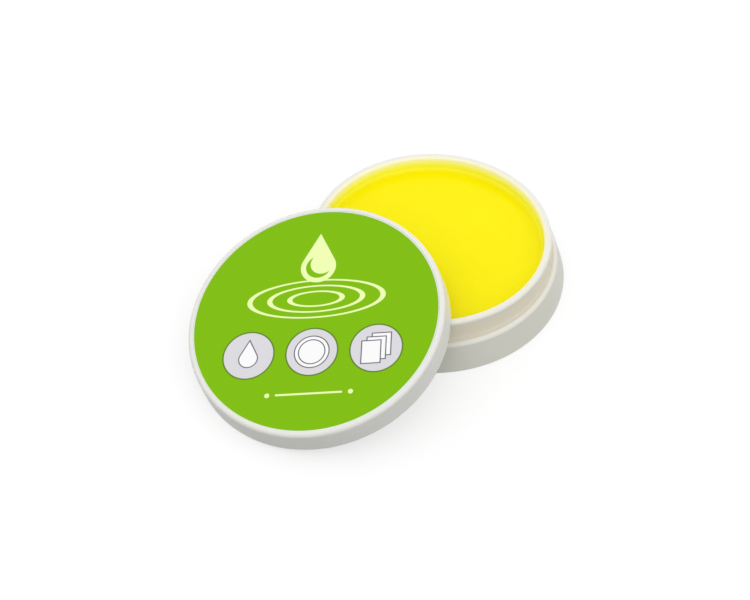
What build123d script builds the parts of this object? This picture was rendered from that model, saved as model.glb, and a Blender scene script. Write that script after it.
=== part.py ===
from build123d import *
import os
from math import asin, cos, degrees, hypot, pi, radians, sin, sqrt

# Finger moistener: a shallow round plastic pot filled with gel, and its push-on lid, which is off
# and leans on the pot's rim. Millimetres, +Z up. The origin is the middle of the pot's base, on the
# table. The lid leans from the -X side, so the whole is alike on both sides of the XZ plane.

# Pot, one moulding: a cup with a plain neck, and a flared hollow skirt around its lower half
base_flare = 2.25
rim_height = 13.6
shoulder_height = 7.55
neck_radius = 30.3
neck_wall = 1.9
skirt_wall = 1.6
ledge_thickness = 1.6
floor_thickness = 1.2
foot_recess = 0.3
rim_flat = 0.2
shoulder_round = 1.2
neck_foot_round = 0.5
base_round = 0.3
cup_floor_round = 1.2
cup_foot_round = 0.5

# Gel, filled to some way below the rim
gel_drop = 4.2
gel_side_clearance = 0.04

# Lid, one moulding: a flat top with a shallow recess for its label, and a plain skirt
lid_top_thickness = 0.95
lid_skirt_wall = 1.4
lid_taper = 0.4
lid_top_margin = 1.29
lid_ring_flat = 0.14
lid_inner_round = 0.6
skirt_edge_round = 0.3

# How the closed lid fits the pot: play around the neck, a gap above the ledge, a flush outside
lid_side_clearance = 0.2
lid_ledge_gap = 0.5
shoulder_step = 0.05

# Labels: a printed disc in the lid's recess, and a plain disc under the cup's floor
lid_label_thickness = 0.12
label_edge_clearance = 0.03
label_set_back = 0.15
recess_edge_round = 0.15
base_label_radius = 22.0
base_label_thickness = 0.1

# How the lid leans: its skirt rests on the rim this far round, on each side of its upper edge
lean_contact_turn = 50.0
lean_gap = 0.1

# Sizes that follow from the values above
cup_radius = neck_radius - neck_wall
rim_round = (neck_wall - rim_flat) / 2
floor_top = foot_recess + floor_thickness
gel_top = rim_height - gel_drop
lid_inner_radius = neck_radius + lid_side_clearance
lid_outer_radius = lid_inner_radius + lid_skirt_wall
lid_inner_depth = rim_height - shoulder_height - lid_ledge_gap
lid_height = lid_inner_depth + lid_top_thickness
lid_edge_round = lid_top_margin - recess_edge_round - lid_ring_flat
shoulder_radius = lid_outer_radius + shoulder_step
base_radius = shoulder_radius + base_flare
label_recess_depth = lid_label_thickness + label_set_back
label_recess_radius = lid_outer_radius - lid_taper - lid_top_margin
lid_label_radius = label_recess_radius - label_edge_clearance


def turned(outline):
    """A solid turned about Z. The outline lists (radius, height, rounding of that corner)."""
    corners = [(radius, height) for radius, height, rounding in outline]
    roundings = [rounding for radius, height, rounding in outline]
    with BuildPart() as part:
        with BuildSketch(Plane.XZ):
            with BuildLine():
                FilletPolyline(*corners, radius=roundings, close=True)
            make_face()
        revolve(axis=Axis.Z)
    return part.part


def disc(radius, low, high):
    """A flat round sheet between two heights."""
    return turned([(0, low, 0), (radius, low, 0), (radius, high, 0), (0, high, 0)])


def make_pot():
    """The cup, its neck and ledge, and the skirt that is hollow from below."""
    hollow_top = shoulder_height - ledge_thickness
    hollow_top_radius = base_radius - base_flare * hollow_top / shoulder_height - skirt_wall
    return turned([
        (0, floor_top, 0),
        (cup_radius, floor_top, cup_floor_round),
        (cup_radius, rim_height, rim_round),
        (neck_radius, rim_height, rim_round),
        (neck_radius, shoulder_height, neck_foot_round),
        (shoulder_radius, shoulder_height, shoulder_round),
        (base_radius, 0, base_round),
        (base_radius - skirt_wall, 0, base_round),
        (hollow_top_radius, hollow_top, 0),
        (neck_radius, hollow_top, 0),
        (neck_radius, foot_recess, cup_foot_round),
        (0, foot_recess, 0),
    ])


def make_gel():
    """The gel, level in the cup and standing on its floor."""
    gel_radius = cup_radius - gel_side_clearance
    return turned([
        (0, floor_top, 0),
        (gel_radius, floor_top, cup_floor_round),
        (gel_radius, gel_top, 0),
        (0, gel_top, 0),
    ])


def make_lid():
    """The lid in its own frame: its axis on Z, the edge of its skirt at height 0."""
    recess_floor = lid_height - label_recess_depth
    return turned([
        (0, lid_inner_depth, 0),
        (lid_inner_radius, lid_inner_depth, lid_inner_round),
        (lid_inner_radius, 0, skirt_edge_round),
        (lid_outer_radius, 0, skirt_edge_round),
        (lid_outer_radius - lid_taper, lid_height, lid_edge_round),
        (label_recess_radius, lid_height, recess_edge_round),
        (label_recess_radius, recess_floor, 0),
        (0, recess_floor, 0),
    ])


def make_lid_label():
    """The printed disc, in the lid's own frame."""
    recess_floor = lid_height - label_recess_depth
    return disc(lid_label_radius, recess_floor, recess_floor + lid_label_thickness)


def make_base_label():
    """The plain disc stuck under the cup's floor, clear of the table."""
    return disc(base_label_radius, foot_recess - base_label_thickness, foot_recess)


def lid_height_at(tilt):
    """Height of the middle of the skirt's edge, when the skirt's low edge is on the table."""
    return skirt_edge_round * (1 - cos(tilt)) + (lid_outer_radius - skirt_edge_round) * sin(tilt)


def rim_gap(tilt, reach, steps=360):
    """Least gap between the rim's rounded outer edge and the skirt's rounded inner edge."""
    rim_line = neck_radius - rim_round
    edge_line = lid_inner_radius + skirt_edge_round
    gaps = []
    for step in range(steps):
        turn = pi * step / steps
        along = edge_line * cos(turn)
        x = along * cos(tilt) - skirt_edge_round * sin(tilt) - reach
        y = edge_line * sin(turn)
        z = lid_height_at(tilt) + along * sin(tilt) + skirt_edge_round * cos(tilt)
        gaps.append(hypot(hypot(x, y) - rim_line, z - (rim_height - rim_round)))
    return min(gaps) - rim_round - skirt_edge_round


def lean(easings=8):
    """Where the leaning lid is: its low edge on the table, its skirt on the rim at two points.

    The place is worked out first as if both edges were sharp, and the tilt is then eased until the
    rounded edges clear each other by the gap.
    """
    turn = radians(lean_contact_turn)
    span = lid_outer_radius + lid_inner_radius * cos(turn)
    tilt = asin(rim_height / span)
    aside = lid_inner_radius * sin(turn)
    reach = lid_inner_radius * cos(turn) * cos(tilt) + sqrt(neck_radius**2 - aside**2)
    for easing in range(easings):
        tilt += (lean_gap - rim_gap(tilt, reach)) / span
    print(f"lid leans at {degrees(tilt):.3f} degrees, {reach:.3f} from the pot's axis")
    print(f"gap to the rim {rim_gap(tilt, reach):.4f}")
    return Pos(-reach, 0, lid_height_at(tilt)) * Rot(0, -degrees(tilt), 0)


place_lid = lean()
pieces = {
    "pot": make_pot(),
    "gel": make_gel(),
    "base_label": make_base_label(),
    "lid": place_lid * make_lid(),
    "lid_label": place_lid * make_lid_label(),
}

os.makedirs("parts", exist_ok=True)
for name, piece in pieces.items():
    piece.label = name
    export_step(piece, f"parts/{name}.step")
    print(f"{name}: {piece.volume / 1000:.2f} ml")
print(f"lid: {2 * lid_outer_radius:.2f} across, {lid_height:.2f} high")
print(f"gel by its depth: {pi * cup_radius**2 * (gel_top - floor_top) / 1000:.2f} ml")
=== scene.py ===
# %% [markdown]
# # A finger moistener: a pot of gel with its lid off
#
# The real thing stands on a desk or a counter: a shallow pot, moulded in white plastic and filled
# with a firm yellow gel that wets a fingertip. The lid is off and leans on the rim, with a green
# label in its top. The CAD model fixes every size and place, so this lesson loads it as a frame,
# models each piece again as a smooth mesh on the same lines, and gives each one its finish.

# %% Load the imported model
from math import atan2, cos, degrees, pi, radians, sin, sqrt, tan

import bmesh
import bpy
from mathutils import Matrix, Vector


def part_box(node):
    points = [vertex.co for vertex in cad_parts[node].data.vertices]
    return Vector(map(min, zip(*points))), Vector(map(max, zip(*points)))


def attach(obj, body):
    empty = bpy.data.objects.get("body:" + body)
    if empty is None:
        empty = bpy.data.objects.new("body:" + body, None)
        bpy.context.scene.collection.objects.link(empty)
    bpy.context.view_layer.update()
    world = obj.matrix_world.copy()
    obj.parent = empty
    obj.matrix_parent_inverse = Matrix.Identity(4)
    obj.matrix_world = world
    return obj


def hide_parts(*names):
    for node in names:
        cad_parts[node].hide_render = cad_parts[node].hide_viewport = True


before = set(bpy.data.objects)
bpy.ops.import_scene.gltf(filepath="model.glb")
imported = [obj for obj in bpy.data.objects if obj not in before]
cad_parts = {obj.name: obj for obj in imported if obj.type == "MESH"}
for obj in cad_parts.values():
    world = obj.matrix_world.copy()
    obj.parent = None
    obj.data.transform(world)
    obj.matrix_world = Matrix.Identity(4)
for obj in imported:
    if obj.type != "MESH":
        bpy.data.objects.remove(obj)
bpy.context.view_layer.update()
MM = 0.001
print("CAD nodes:", ", ".join(sorted(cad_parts)))

# %% [markdown]
# ## What the frame tells
#
# Blender works in metres here, and a moulder thinks in millimetres. Sizes are therefore written in
# millimetres, and turned into metres only where a mesh is made. The boxes of the CAD nodes give the
# heights of the rim, the gel and the cup's floor. Walls and roundings don't show in a box, so those
# are named below, piece by piece.

# %% Measure the heights
def box_mm(node):
    """A CAD node's lowest and highest corner, in millimetres."""
    low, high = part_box(node)
    return low / MM, high / MM


_, pot_high = box_mm("pot")
gel_low, gel_high = box_mm("gel")
rim_height = pot_high.z
cup_floor = gel_low.z
gel_level = gel_high.z
print(f"rim at {rim_height:.2f} mm, gel from {cup_floor:.2f} to {gel_level:.2f} mm")

# %% [markdown]
# The lid leans, and its label is a thin flat disc that leans with it. The box around a leaning disc
# is enough to find the angle: its run and its rise are both made of the disc's width and its
# thickness, seen at that angle.

# %% Measure the lean of the lid
label_thickness = 0.12
label_low, label_high = box_mm("lid_label")
label_middle = (label_low + label_high) / 2
label_run, label_width, label_rise = label_high - label_low
label_radius = label_width / 2
lid_lean = atan2(
    label_rise * label_width - label_run * label_thickness,
    label_run * label_width - label_rise * label_thickness,
)
lid_upward = Vector((-sin(lid_lean), 0, cos(lid_lean)))
print(f"lid leans by {degrees(lid_lean):.3f} degrees, label {label_radius:.2f} mm in radius")

# %% [markdown]
# ## Turning a moulding
#
# Pot, gel, lid and labels are all round, so each is an outline turned about an axis, as a mould maker
# would turn them on a lathe. A cylinder that is pushed and bevelled would do as well, but an outline
# keeps every wall, step and rounding in one short list. It starts as a plane whose four corners are
# merged into one point. That point is extruded from corner to corner, each corner gets its rounding
# from a vertex bevel, and Spin turns the chain of edges into a closed skin.

# %% Draw an outline
def draw_chain(name, corners):
    """A chain of edges through corners in millimetres, left in edit mode."""
    bpy.ops.object.select_all(action="DESELECT")
    bpy.ops.mesh.primitive_plane_add(size=MM)
    piece = bpy.context.object
    piece.name = name
    piece.data.name = name
    # The finishes read Object coordinates, so the plane's UV map has no use
    piece.data.uv_layers.remove(piece.data.uv_layers[0])
    bpy.ops.object.mode_set(mode="EDIT")
    bpy.ops.mesh.select_mode(type="VERT")
    bpy.ops.mesh.merge(type="CENTER")
    bpy.ops.transform.translate(value=corners[0] * MM)
    for start, end in zip(corners, corners[1:]):
        bpy.ops.mesh.extrude_region_move(TRANSFORM_OT_translate={"value": (end - start) * MM})
    return piece


# %% [markdown]
# A bevel takes the distance from the corner to where the rounding starts. For a rounding of a given
# radius that distance grows with the turn of the outline, so it is worked out for each corner.

# %% Round its corners
ROUNDING_STEPS = 8
TOUCHING = 0.002


def select_corner(piece, corner):
    """Select the one vertex of the chain that lies at a corner."""
    chain = bmesh.from_edit_mesh(piece.data)
    for vertex in chain.verts:
        vertex.select_set((vertex.co / MM - corner).length < TOUCHING)
    chain.select_flush_mode()
    bmesh.update_edit_mesh(piece.data)


def round_corners(piece, corners, roundings):
    """Give each corner of the chain its rounding, as a radius in millimetres."""
    for before, corner, after, rounding in zip(corners, corners[1:], corners[2:], roundings[1:]):
        if rounding:
            turn = (corner - before).angle(after - corner)
            select_corner(piece, corner)
            bpy.ops.mesh.bevel(
                affect="VERTICES", offset=rounding * tan(turn / 2) * MM, segments=ROUNDING_STEPS
            )


# %% Spin it into a closed skin
SPIN_STEPS = 192


def turned(name, outline):
    """A closed round piece from an outline of (radius, height, rounding), in millimetres."""
    corners = [Vector((radius, 0, height)) for radius, height, rounding in outline]
    roundings = [rounding for radius, height, rounding in outline]
    piece = draw_chain(name, corners)
    round_corners(piece, corners, roundings)
    bpy.ops.mesh.select_all(action="SELECT")
    bpy.ops.mesh.spin(steps=SPIN_STEPS, angle=2 * pi, center=(0, 0, 0), axis=(0, 0, 1))
    bpy.ops.mesh.select_all(action="SELECT")
    bpy.ops.mesh.remove_doubles(threshold=TOUCHING * MM)
    bpy.ops.mesh.normals_make_consistent(inside=False)
    bpy.ops.object.mode_set(mode="OBJECT")
    return piece


# %% [markdown]
# Smooth shading alone would drag the bend of a small rounding across the wide flat wall beside it.
# Edges sharper than an angle are kept as edges, and a Weighted Normal modifier then lets the wide
# faces decide the shading, so that a flat wall looks flat up to its rounding.

# %% Shade and report a piece
SMOOTH_BELOW = radians(35)
ML = 1e-6


def select_only(piece):
    """Select one object and make it the active one, for the next operator."""
    bpy.ops.object.select_all(action="DESELECT")
    piece.select_set(True)
    bpy.context.view_layer.objects.active = piece


def shade(piece):
    """Smooth shading with clean flats, and a line on what was made."""
    select_only(piece)
    bpy.ops.object.shade_smooth_by_angle(angle=SMOOTH_BELOW)
    bpy.ops.object.modifier_add(type="WEIGHTED_NORMAL")
    piece.modifiers[-1].keep_sharp = True
    bpy.ops.object.modifier_apply(modifier=piece.modifiers[-1].name)
    skin = bmesh.new()
    skin.from_mesh(piece.data)
    gaps = sum(not edge.is_manifold for edge in skin.edges)
    volume = skin.calc_volume(signed=True) / ML
    skin.free()
    size = [round(side / MM, 2) for side in piece.dimensions]
    print(f"{piece.name}: {size} mm, {volume:.2f} ml")
    print(f"  {len(piece.data.polygons)} faces, {gaps} open edges")


# %% [markdown]
# ## The pot
#
# One moulding: a cup with a plain neck for the lid to push onto, a ledge that the lid's skirt stops
# above, and below it a flared outer skirt that is hollow from underneath, so that no wall is thick
# enough to sink. The outline runs from the middle of the cup's floor up to the rim, down the outside
# and back to the middle under the floor.

# %% Name the pot's sizes
neck_radius = 30.3
neck_wall = 1.9
shoulder_height = 7.55
shoulder_radius = 31.95
base_radius = 34.2
skirt_wall = 1.6
ledge_thickness = 1.6
foot_height = 0.3
rim_flat = 0.2
cup_floor_round = 1.2
neck_foot_round = 0.5
shoulder_round = 1.2
base_round = 0.3
hollow_outer_round = 0.25
hollow_inner_round = 0.15
cup_foot_round = 0.5

cup_radius = neck_radius - neck_wall
rim_round = (neck_wall - rim_flat) / 2
hollow_top = shoulder_height - ledge_thickness
skirt_flare = (base_radius - shoulder_radius) / shoulder_height
hollow_radius = base_radius - skirt_wall - skirt_flare * hollow_top
print(f"the skirt flares by {skirt_flare:.3f} mm per mm, its hollow is {hollow_top:.2f} mm deep")

# %% Turn the pot
pot_shell = turned("pot_shell", [
    (0, cup_floor, 0),
    (cup_radius, cup_floor, cup_floor_round),
    (cup_radius, rim_height, rim_round),
    (neck_radius, rim_height, rim_round),
    (neck_radius, shoulder_height, neck_foot_round),
    (shoulder_radius, shoulder_height, shoulder_round),
    (base_radius, 0, base_round),
    (base_radius - skirt_wall, 0, base_round),
    (hollow_radius, hollow_top, hollow_outer_round),
    (neck_radius, hollow_top, hollow_inner_round),
    (neck_radius, foot_height, cup_foot_round),
    (0, foot_height, 0),
])
shade(pot_shell)

# %% [markdown]
# ## The gel
#
# The gel is poured warm and sets in the cup. It wets the plastic, so its edge climbs the wall in a
# small curve, and as it cools it shrinks, so the middle lies a little lower than the edge. A flat
# disc would look like a lid of paint, so the outline gets both: a rounded inside corner for the
# edge, and a shallow dish worked out by a loop.

# %% Turn the gel
edge_climb = 1.2
edge_film = 0.03
wall_gap = 0.01
dish_depth = 0.12
dish_rings = 6
fill_radius = cup_radius - wall_gap

dish = []
for ring in range(dish_rings - 1, -1, -1):
    share = ring / dish_rings
    dish.append((fill_radius * share, gel_level - dish_depth * (1 - share**2), 0))

gel_fill = turned("gel_fill", [
    (0, cup_floor, 0),
    (fill_radius, cup_floor, cup_floor_round),
    (fill_radius, gel_level + edge_climb, 0),
    (fill_radius - edge_film, gel_level + edge_climb, 0),
    (fill_radius - edge_film, gel_level, edge_climb),
    *dish,
])
shade(gel_fill)

# %% [markdown]
# ## The lid
#
# The other moulding is a flat round top with a shallow recess for its label, and a plain skirt that
# is slightly narrower at the top, so that it leaves the mould. It is easiest to turn it level, about
# its own axis with the edge of its skirt at height 0, and to lean it afterwards. The turn and the
# move are applied at once, so the object ends at the origin with its place in its mesh.

# %% Name the lid's sizes
lid_height = 6.5
lid_depth = 5.55
lid_inner_radius = 30.5
lid_outer_radius = 31.9
lid_top_radius = 31.5
lid_inner_round = 0.6
skirt_edge_round = 0.3
lid_edge_round = 1.0
recess_depth = 0.27
recess_gap = 0.03
recess_edge_round = 0.15

recess_radius = label_radius + recess_gap
recess_floor = lid_height - recess_depth
lid_seat = label_middle - lid_upward * (recess_floor + label_thickness / 2)
print("middle of the skirt's edge at", [round(side, 3) for side in lid_seat], "mm")


# %% Turn the lid and lean it
def lean(piece):
    """Lean a piece that was turned level, and put it where the lid is."""
    select_only(piece)
    piece.rotation_euler.y = -lid_lean
    piece.location = lid_seat * MM
    bpy.ops.object.transform_apply(location=True, rotation=True, scale=True)


lid_shell = turned("lid_shell", [
    (0, lid_depth, 0),
    (lid_inner_radius, lid_depth, lid_inner_round),
    (lid_inner_radius, 0, skirt_edge_round),
    (lid_outer_radius, 0, skirt_edge_round),
    (lid_top_radius, lid_height, lid_edge_round),
    (recess_radius, lid_height, recess_edge_round),
    (recess_radius, recess_floor, 0),
    (0, recess_floor, 0),
])
lean(lid_shell)
shade(lid_shell)

# %% [markdown]
# ## The two labels
#
# Both are stickers: a printed film that fills the recess in the lid, and a bare paper disc under the
# cup's floor. A die stamps them out, which leaves the outer edge of each slightly rounded.

# %% Turn the labels
label_edge_round = 0.03
sticker_low, sticker_high = box_mm("base_label")
sticker_radius = sticker_high.x

lid_label_film = turned("lid_label_film", [
    (0, recess_floor, 0),
    (label_radius, recess_floor, 0),
    (label_radius, recess_floor + label_thickness, label_edge_round),
    (0, recess_floor + label_thickness, 0),
])
lean(lid_label_film)
shade(lid_label_film)

base_sticker = turned("base_sticker", [
    (0, sticker_low.z, 0),
    (sticker_radius, sticker_low.z, label_edge_round),
    (sticker_radius, sticker_high.z, 0),
    (0, sticker_high.z, 0),
])
shade(base_sticker)

# %% [markdown]
# ## Writing shader maths in Python
#
# A finish is a graph of nodes. Drawn by hand it is quickly a maze, and in Python each sum would take
# three lines. So a small class wraps a node's output and lets Python's own operators add the Math
# nodes: 1 - mask then reads as it is meant. A second class holds one node tree and the shader that it
# feeds, with one method that adds any other kind of node.

# %% A value that changes over a surface
class Value:
    """A node's output, which Python's operators work on."""

    def __init__(self, finish, socket):
        self.finish = finish
        self.socket = socket

    def __add__(self, other):
        return self.finish.math("ADD", self, other)

    def __sub__(self, other):
        return self.finish.math("SUBTRACT", self, other)

    def __rsub__(self, other):
        return self.finish.math("SUBTRACT", other, self)

    def __mul__(self, other):
        return self.finish.math("MULTIPLY", self, other)

    def __abs__(self):
        return self.finish.math("ABSOLUTE", self)

    __radd__ = __add__
    __rmul__ = __mul__

    def root(self):
        return self.finish.math("SQRT", self)

    def over(self, limit):
        return self.finish.math("GREATER_THAN", self, limit)

    def larger(self, other):
        return self.finish.math("MAXIMUM", self, other)


# %% A finish that nodes are added to
class Finish:
    """The nodes of a material or of the world, and the shader that they feed."""

    def __init__(self, owner, shader):
        self.owner = owner
        self.tree = owner.node_tree
        self.shader = self.tree.nodes[shader]

    def add(self, kind, settings=None, inputs=None, output=0):
        """Add a node: its settings first, then the values or links of its sockets."""
        node = self.tree.nodes.new(kind)
        for name, setting in (settings or {}).items():
            setattr(node, name, setting)
        for name, value in (inputs or {}).items():
            self.feed(node.inputs[name], value)
        return Value(self, node.outputs[output])

    def feed(self, socket, value):
        """Link a value to a socket, or set a plain number or colour on it."""
        if isinstance(value, Value):
            self.tree.links.new(value.socket, socket)
        else:
            socket.default_value = value

    def math(self, operation, *values):
        return self.add("ShaderNodeMath", {"operation": operation}, dict(enumerate(values)))

    def dress(self, **sockets):
        """Feed the shader's sockets. An underscore stands for the space in a socket's name."""
        for name, value in sockets.items():
            self.feed(self.shader.inputs[name.replace("_", " ")], value)

    def report(self):
        print(f"{self.owner.name}: {len(self.tree.nodes)} nodes")


# %% [markdown]
# A surface needs more: places on it in millimetres, colours to mix, soft steps, noise and bumps. Each
# is a node or two from that one method, with only the sockets that matter here.

# %% A finish for a surface
class SurfaceFinish(Finish):
    """A material's finish, with short methods for the nodes that come up often."""

    def mix(self, share, first, second):
        """The first colour where share is 0, the second where it is 1."""
        colours = {0: share, 6: first, 7: second}
        return self.add("ShaderNodeMix", {"data_type": "RGBA"}, colours, output=2)

    def fade(self, value, start, end):
        """1 up to the start, 0 from the end on, and a soft step between them."""
        ends = {"Value": value, "From Min": start, "From Max": end, "To Min": 1, "To Max": 0}
        return self.add("ShaderNodeMapRange", {"interpolation_type": "SMOOTHSTEP"}, ends)

    def noise(self, place, grain, detail=2.0):
        """Cloudy noise from 0 to 1, with clouds about as wide as the grain in millimetres."""
        cloud = {"Vector": place, "Scale": 1 / grain, "Detail": detail}
        return self.add("ShaderNodeTexNoise", None, cloud)

    def place(self, middle=(0, 0, 0), turn=(0, 0, 0)):
        """Object coordinates in millimetres, from a middle in millimetres, turned with the piece."""
        frame_of_piece = {
            "Vector": self.add("ShaderNodeTexCoord", output="Object"),
            "Location": [side * MM for side in middle],
            "Rotation": turn,
            "Scale": (MM, MM, MM),
        }
        return self.add("ShaderNodeMapping", {"vector_type": "TEXTURE"}, frame_of_piece)

    def split(self, place):
        """The three numbers of a place."""
        node = self.add("ShaderNodeSeparateXYZ", None, {"Vector": place}).socket.node
        return [Value(self, socket) for socket in node.outputs]

    def bumps(self, height, depth):
        """A normal for a height from 0 to 1 that stands for a depth in millimetres."""
        return self.add("ShaderNodeBump", None, {"Height": height, "Distance": depth * MM})


def new_finish(name, **numbers):
    """A new material's finish, with plain numbers set on its shader's own sockets."""
    material = bpy.data.materials.new(name)
    material.use_nodes = True
    finish = SurfaceFinish(material, "Principled BSDF")
    finish.dress(**numbers)
    return finish


# %% [markdown]
# ## The white plastic
#
# Pot and lid are polypropylene: white, a little warm, satin, and slightly clear, so light creeps
# under the skin. Three things break up the flat colour: faint clouds in the moulding, a fine grain
# that the mould leaves, and a glossier skin where the clouds are pale.

# %% Mix the white plastic
lid_whites = (0.775, 0.77, 0.725, 1), (0.75, 0.755, 0.72, 1)
# painted light: the pot's whites are a little lighter and warmer than the lid's, for the gel's yellow
# light
pot_whites = (0.80, 0.785, 0.70, 1), (0.775, 0.77, 0.70, 1)
cloud_size = 9.0
grain_size = 0.35
grain_depth = 0.004


def white_plastic(name, whites):
    """The finish that both mouldings share, and its colour, for marks to be mixed into."""
    finish = new_finish(
        name,
        Specular_IOR_Level=0.4,
        Subsurface_Weight=0.15,
        Subsurface_Radius=(1.0, 0.9, 0.75),
        Subsurface_Scale=0.8 * MM,
    )
    place = finish.place()
    clouds = finish.noise(place, cloud_size)
    grain = finish.noise(place, grain_size)
    finish.dress(
        Roughness=0.30 + 0.08 * clouds + 0.10 * grain,
        Normal=finish.bumps(grain, grain_depth),
    )
    return finish, finish.mix(clouds, *whites)


lid_plastic, lid_colour = white_plastic("lid_white_plastic", lid_whites)
lid_plastic.dress(Base_Color=lid_colour)
lid_plastic.report()

# %% [markdown]
# The pot has four marks more. The gel leaves a film on the cup's wall that thins out towards the rim,
# and the film's yellow also paints the gel's light on that wall, as painted light. Where the gel's
# yellow would shine through the thin cup, the neck is painted with a warm glow. The corner where the
# neck meets the ledge is painted darker, as painted shade, and the skirt below the ledge is painted
# a shade greyer, as painted shade too. Each mark is a mask made of the distance from the pot's axis
# and the height above the table, which fades out between two places that are named from the pot's
# sizes.

# %% Find where the gel has been, and where its light and glow are painted
wall_slack = 0.05
floor_margin = 0.2
neck_slack = 0.02
neck_reach = 0.3
glow_rise = 2.0

pot_plastic, pot_colour = white_plastic("pot_white_plastic", pot_whites)
x, y, height = pot_plastic.split(pot_plastic.place())
radius = (x * x + y * y).root()
inside_cup = pot_plastic.fade(radius, cup_radius + wall_slack, cup_radius + rim_round)
above_foot = 1 - pot_plastic.fade(height, foot_height + floor_margin, cup_floor - floor_margin)
# painted light: the wetted area takes the film's yellow, which also stands in for the gel's light on
# the wall
wetted_and_lit = inside_cup * above_foot
thick_film_and_light = pot_plastic.fade(height, gel_level + edge_climb, rim_height)
# painted glow: the neck near the gel, where the gel's yellow would shine through the cup
on_cup = pot_plastic.fade(radius, neck_radius + neck_slack, neck_radius + neck_reach)
near_gel = pot_plastic.fade(height, gel_level + glow_rise, rim_height)
painted_glow_mask = on_cup * (1 - wetted_and_lit) * near_gel
pot_plastic.report()

# %% Find where shade is painted in the corner and on the skirt
shade_full = 0.4
shade_reach = 1.0
shade_rise = 0.7
ledge_low = 0.6
ledge_top = 0.2
skirt_shade_below = 0.9
skirt_shade_end = 0.1

# painted shade: the corner where the neck meets the ledge is darkened
near_neck = pot_plastic.fade(radius, neck_radius + shade_full, neck_radius + shade_reach)
above_ledge = 1 - pot_plastic.fade(
    height, shoulder_height - ledge_low, shoulder_height - ledge_top
)
low_on_neck = pot_plastic.fade(height, shoulder_height, shoulder_height + shade_rise)
corner = near_neck * (1 - inside_cup) * above_ledge * low_on_neck
# painted shade: the skirt below the ledge's height is a shade greyer
shaded_skirt = pot_plastic.fade(height, shoulder_height - skirt_shade_below, shoulder_height - skirt_shade_end)
pot_plastic.report()

# %% Mix the pot's plastic
# painted light: the film's yellows also paint the gel's light on the cup's wall, and the cup's glow
# paints light through the neck
film_and_light_yellow = (1.0, 0.99, 0.06, 1)
film_and_light_pale = (0.94, 0.92, 0.72, 1)
painted_cup_glow = (0.86, 0.77, 0.57, 1)
# painted shade for the corner under the neck
painted_corner_shade = (0.62, 0.57, 0.46, 1)
# painted shade for the skirt
painted_skirt_shade = (0.68, 0.675, 0.605, 1)
glow_share = 0.6
corner_shade_share = 0.75

# painted light: yellow on the cup's wall, pale towards the rim
film = pot_plastic.mix(thick_film_and_light, film_and_light_pale, film_and_light_yellow)
# painted shade greys the skirt
pot_colour = pot_plastic.mix(shaded_skirt, pot_colour, painted_skirt_shade)
# painted glow of the gel's yellow through the neck
pot_colour = pot_plastic.mix(painted_glow_mask * glow_share, pot_colour, painted_cup_glow)
# painted shade in the corner where the neck meets the ledge
pot_colour = pot_plastic.mix(corner * corner_shade_share, pot_colour, painted_corner_shade)
pot_colour = pot_plastic.mix(wetted_and_lit, pot_colour, film)
pot_plastic.dress(Base_Color=pot_colour)
pot_plastic.report()

# %% [markdown]
# ## The gel's finish
#
# The gel is a strong, even yellow with a wet skin. Its colour is a little paler in the thin edge at
# the wall, which also paints light over the shade where the gel meets the wall, and slow swells in
# its surface keep a reflection from looking like a mirror's.

# %% Mix the gel
gel_yellow = (0.94, 0.83, 0.0, 1)
gel_deep = (0.925, 0.81, 0.0, 1)
lit_edge_share = 0.65
swell_size = 7.0
swell_depth = 0.05

gel_finish = new_finish("wet_gel", Specular_IOR_Level=0.09)
gel_place = gel_finish.place()
_, _, height = gel_finish.split(gel_place)
swells = gel_finish.noise(gel_place, swell_size, detail=1.0)
# painted light: the paler thin edge also lightens the shade at the foot of the wall
thin_and_lit_edge = 1 - gel_finish.fade(height, gel_level, gel_level + edge_climb / 2)
gel_colour = gel_finish.mix(swells, gel_yellow, gel_deep)
gel_finish.dress(
    Base_Color=gel_finish.mix(thin_and_lit_edge * lit_edge_share, gel_colour, film_and_light_yellow),
    Roughness=0.16 + 0.12 * swells,
    Normal=gel_finish.bumps(swells, swell_depth),
)
gel_finish.report()

# %% [markdown]
# ## The printed label
#
# The film is white, and its face is printed all over in a fresh green, up to a hair's breadth from
# the edge. On the green lies a plain print of stock motifs: a drop over its ripples in pale lime, and
# three grey medallions with line pictures of a drop, a pot and sheets of paper. An image would be the
# usual way, but shapes made of maths stay sharp at any size. Each shape is a distance in millimetres,
# less than 0 inside, so any shape can be filled, outlined or cut from another.

# %% Distances to plain shapes
def disc(x, y, radius):
    return (x * x + y * y).root() - radius


def rectangle(x, y, half_width, half_height):
    return (abs(x) - half_width).larger(abs(y) - half_height)


def drop(x, y, radius, tip):
    """A round drop about its middle, with straight flanks up to a tip that far above it."""
    slope = radius / tip
    side = sqrt(1 - slope**2)
    flank = abs(x) * side + y * slope - radius
    round_part = disc(x, y, radius)
    above = (y * side - abs(x) * slope).over(0)
    return round_part + (flank - round_part) * above


def outline_of(shape, width):
    return abs(shape) - width / 2


def cut_from(shape, hole):
    return shape.larger(0 - hole)


# %% Inks of the label
film_white = (0.84, 0.85, 0.80, 1)
green_ink = (0.2, 0.475, 0.0, 1)
lime_ink = (0.80, 0.93, 0.42, 1)
olive_ink = (0.11, 0.20, 0.02, 1)
grey_ink = (0.66, 0.65, 0.68, 1)
white_ink = (0.88, 0.88, 0.88, 1)
line_ink = (0.13, 0.12, 0.16, 1)
ink_blur = 0.08
line_width = 0.28

# %% [markdown]
# The print is a stack of layers, each a shape and its ink, laid one over the other from the green
# field up. Places on it are millimetres from the label's middle. The maths would print the back of the
# film as well, so a last layer covers that with the film's own white.

# %% Draw the drop over its ripples
drop_height = 14.0
drop_radius = 4.4
drop_tip = 9.6
shine_radius = 3.1
shine_cut_radius = 2.9
shine_shift = 0.9
ripple_height = 5.0
ripple_radii = 6.5, 11.5, 16.5
ripple_squash = 3.2
ripple_line = 1.3


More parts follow.
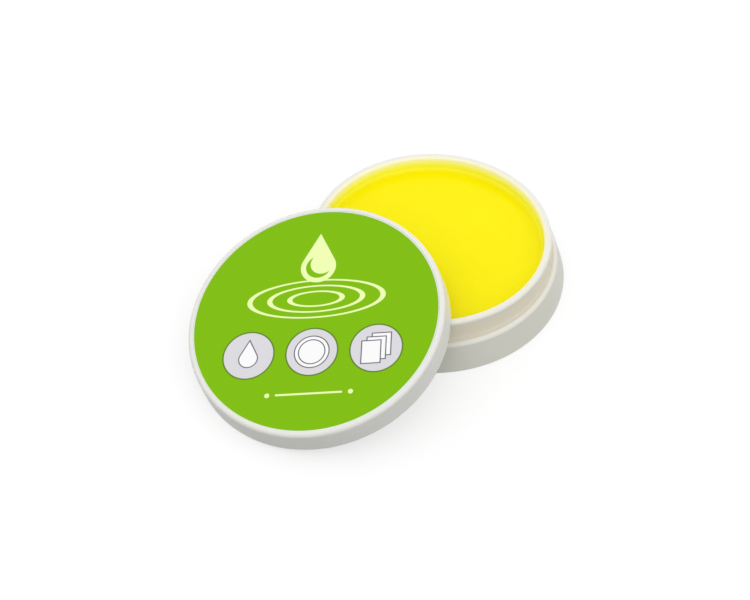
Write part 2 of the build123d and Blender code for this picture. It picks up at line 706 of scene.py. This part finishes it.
def ripples(x, y):
    """Rings on water, seen at a slant."""
    layers = []
    for ripple_radius in ripple_radii:
        ripple = disc(x, (y - ripple_height) * ripple_squash, ripple_radius)
        layers.append((outline_of(ripple, ripple_line), lime_ink))
    return layers


def falling_drop(x, y):
    """A drop with a crescent of shine, left green."""
    y = y - drop_height
    beside = disc(x - shine_shift, y - shine_shift, shine_cut_radius)
    shine = cut_from(disc(x, y, shine_radius), beside)
    return [(drop(x, y, drop_radius, drop_tip), lime_ink), (shine, green_ink)]


# %% Draw the medallions' pictures
small_drop_radius = 2.3
small_drop_tip = 5.0
small_drop_sink = 0.9
small_pot_radius = 4.2
small_mouth_radius = 3.2
sheet_half_width = 2.3
sheet_half_height = 3.0
sheet_shifts = 1.2, 0.0, -1.2
sheet_slope = 0.8


def drawn(shape):
    """A white shape in a thin dark line."""
    return [(shape, white_ink), (outline_of(shape, line_width), line_ink)]


def picture_of_drop(x, y):
    return drawn(drop(x, y + small_drop_sink, small_drop_radius, small_drop_tip))


def picture_of_pot(x, y):
    mouth = outline_of(disc(x, y, small_mouth_radius), line_width)
    return [*drawn(disc(x, y, small_pot_radius)), (mouth, line_ink)]


def picture_of_sheets(x, y):
    layers = []
    for shift in sheet_shifts:
        sheet = rectangle(x - shift, y - sheet_slope * shift, sheet_half_width, sheet_half_height)
        layers += drawn(sheet)
    return layers


# %% Set the medallions in a row
medallion_radius = 6.1
medallion_line = 0.35
medallion_height = -9.5
medallion_pitch = 15.5


def medallions(x, y):
    """Three grey discs with their pictures, from left to right."""
    layers = []
    for column, picture in enumerate((picture_of_drop, picture_of_pot, picture_of_sheets), -1):
        across = x - column * medallion_pitch
        up = y - medallion_height
        ground = disc(across, up, medallion_radius)
        layers += [(ground - medallion_line, olive_ink), (ground, grey_ink), *picture(across, up)]
    return layers


# %% Draw the rule under them
rule_height = -20.5
rule_half_length = 8.0
rule_half_width = 0.25
rule_dot_reach = 10.0
rule_dot_radius = 0.6


def dotted_rule(x, y):
    """A thin line with a dot beyond each end."""
    up = y - rule_height
    layers = [(rectangle(x, up, rule_half_length, rule_half_width), lime_ink)]
    for side in (-1, 1):
        layers.append((disc(x - side * rule_dot_reach, up, rule_dot_radius), lime_ink))
    return layers


# %% Print the label
print_margin = 0.2
print_turn = radians(-48.5)
wave_size = 2.5
wave_depth = 0.01

label_finish = new_finish("label_print", Specular_IOR_Level=0.1)
label_turn = Matrix.Rotation(-lid_lean, 3, "Y") @ Matrix.Rotation(print_turn, 3, "Z")
label_place = label_finish.place(label_middle, label_turn.to_euler())
x, y, height = label_finish.split(label_place)
print_layers = [
    (disc(x, y, label_radius - print_margin), green_ink),
    *ripples(x, y),
    *falling_drop(x, y),
    *medallions(x, y),
    *dotted_rule(x, y),
]
label_colour = film_white
for shape, ink in print_layers:
    inked = label_finish.fade(shape, -ink_blur / 2, ink_blur / 2)
    label_colour = label_finish.mix(inked, label_colour, ink)
back = label_finish.fade(height, -label_thickness / 4, label_thickness / 4)
film_waves = label_finish.noise(label_place, wave_size, detail=1.0)
label_finish.dress(
    Base_Color=label_finish.mix(back, label_colour, film_white),
    Roughness=0.44 + 0.10 * film_waves,
    Normal=label_finish.bumps(film_waves, wave_depth),
)
label_finish.report()

# %% [markdown]
# ## The paper sticker
#
# The sticker under the pot is uncoated paper. Its fibres are noise stretched along one direction, as
# the paper machine lays them.

# %% Mix the paper
paper_light = (0.86, 0.855, 0.83, 1)
paper_dark = (0.78, 0.77, 0.74, 1)
fibre_width = 0.3
fibre_squeeze = 0.2
fibre_depth = 0.012

paper_finish = new_finish("sticker_paper", Specular_IOR_Level=0.2)
x, y, height = paper_finish.split(paper_finish.place())
along_fibres = {"X": x * fibre_squeeze, "Y": y, "Z": height}
stretched = paper_finish.add("ShaderNodeCombineXYZ", None, along_fibres)
fibres = paper_finish.noise(stretched, fibre_width, detail=4.0)
paper_finish.dress(
    Base_Color=paper_finish.mix(fibres, paper_light, paper_dark),
    Roughness=0.75 + 0.2 * fibres,
    Normal=paper_finish.bumps(fibres, fibre_depth),
)
paper_finish.report()

# %% [markdown]
# ## Dressing the frame
#
# Every piece gets its finish, rides on the body that carries it, and stands for the CAD node whose
# place it takes. The gel and the sticker belong to the pot, the printed film to the loose lid.

# %% Give each piece its finish and its body
dressing = [
    (pot_shell, pot_plastic, "filled_pot", "pot", "white_plastic"),
    (gel_fill, gel_finish, "filled_pot", "gel", "yellow_gel"),
    (base_sticker, paper_finish, "filled_pot", "base_label", "plain_label"),
    (lid_shell, lid_plastic, "loose_lid", "lid", "white_plastic"),
    (lid_label_film, label_finish, "loose_lid", "lid_label", "printed_label"),
]
for piece, finish, body, node, slot in dressing:
    piece.data.materials.append(finish.owner)
    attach(piece, body)
    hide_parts(node)
    print(f"{piece.name} rides on {body} for {node}")

# %% [markdown]
# ## The studio
#
# The photograph looks like one taken in a white tent, lit softly from all sides and a little from the
# right, on a white ground that fades out any hard shadow. A white world is the tent, and a dim sun
# with a very wide disc gives it a direction. The floor sends less light back than it shows, which
# leaves upright walls at little over half the brightness of the tops. Rays of the camera and of
# mirrors see floor and world as plain white, so the background stays white without more light on the
# pot.

# %% Find the rays that show the background
def seen_rays(finish):
    """1 for the rays of the camera, of mirrors and of clear pieces, and 0 for all others."""
    rays = finish.add("ShaderNodeLightPath").socket.node
    seen = Value(finish, rays.outputs["Is Camera Ray"])
    for ray in ("Is Glossy Ray", "Is Transmission Ray"):
        seen = seen.larger(Value(finish, rays.outputs[ray]))
    return seen


# %% Lay the floor
floor_bounce = (0.12, 0.12, 0.12, 1)
floor_seen = (0.35, 0.35, 0.35, 1)
floor_glow = (0.65, 0.65, 0.65, 1)
black = (0, 0, 0, 1)
floor_size = 8.0
floor_drop = 0.02

bpy.ops.object.select_all(action="DESELECT")
bpy.ops.mesh.primitive_plane_add(size=floor_size, location=(0, 0, -floor_drop * MM))
floor = bpy.context.object
floor.name = "floor"
floor_finish = new_finish(
    "floor_white", Roughness=1.0, Specular_IOR_Level=0.0, Emission_Strength=1.0
)
floor_shown = seen_rays(floor_finish)
floor_finish.dress(
    Base_Color=floor_finish.mix(floor_shown, floor_bounce, floor_seen),
    Emission_Color=floor_finish.mix(floor_shown, black, floor_glow),
)
floor.data.materials.append(floor_finish.owner)
floor_finish.report()

# %% Set the lights
dome_level = 1.06
sun_level = 0.08
sun_width = radians(60)
sun_tilt = radians(50)
sun_side = radians(-88)

bpy.ops.object.light_add(type="SUN", rotation=(0, sun_tilt, sun_side))
softbox = bpy.context.object
softbox.name = "side_softbox"
softbox.data.energy = sun_level * pi
softbox.data.angle = sun_width

world = bpy.data.worlds.new("white_dome")
world.use_nodes = True
bpy.context.scene.world = world
dome = Finish(world, "Background")
dome.dress(Color=(1, 1, 1, 1), Strength=dome_level + (1 - dome_level) * seen_rays(dome))
print(f"light on a level surface: {dome_level + sun_level * cos(sun_tilt):.2f}")

# %% [markdown]
# ## The camera
#
# The round outlines of pot, rim and label were matched to those in the photograph, which gives the
# camera's height, its turn and its distance. It looks down by almost 48 degrees and is rolled by 2,
# which is why the pot seems to stand on a slight slope.

# %% Place the camera
aim = Vector((-17.14, 3.08, 0.0))
camera_distance = 366.19
camera_azimuth = radians(-42.914)
camera_elevation = radians(47.902)
camera_roll = radians(-2.02)
camera_lens = 69.254
sensor_width = 36.0
nearest_seen = 10.0
camera_turn = (
    Matrix.Rotation(camera_azimuth, 3, "Z")
    @ Matrix.Rotation(pi / 2 - camera_elevation, 3, "X")
    @ Matrix.Rotation(camera_roll, 3, "Z")
)

bpy.ops.object.camera_add()
camera = bpy.context.object
camera.name = "photo_camera"
camera.data.sensor_width = sensor_width
camera.data.lens = camera_lens
camera.data.clip_start = nearest_seen * MM
camera.rotation_euler = camera_turn.to_euler()
camera.location = (aim + camera_turn @ Vector((0, 0, camera_distance))) * MM
bpy.context.scene.camera = camera
bpy.context.scene.view_settings.view_transform = "Standard"
print("camera at", [round(side / MM, 1) for side in camera.location], "mm")
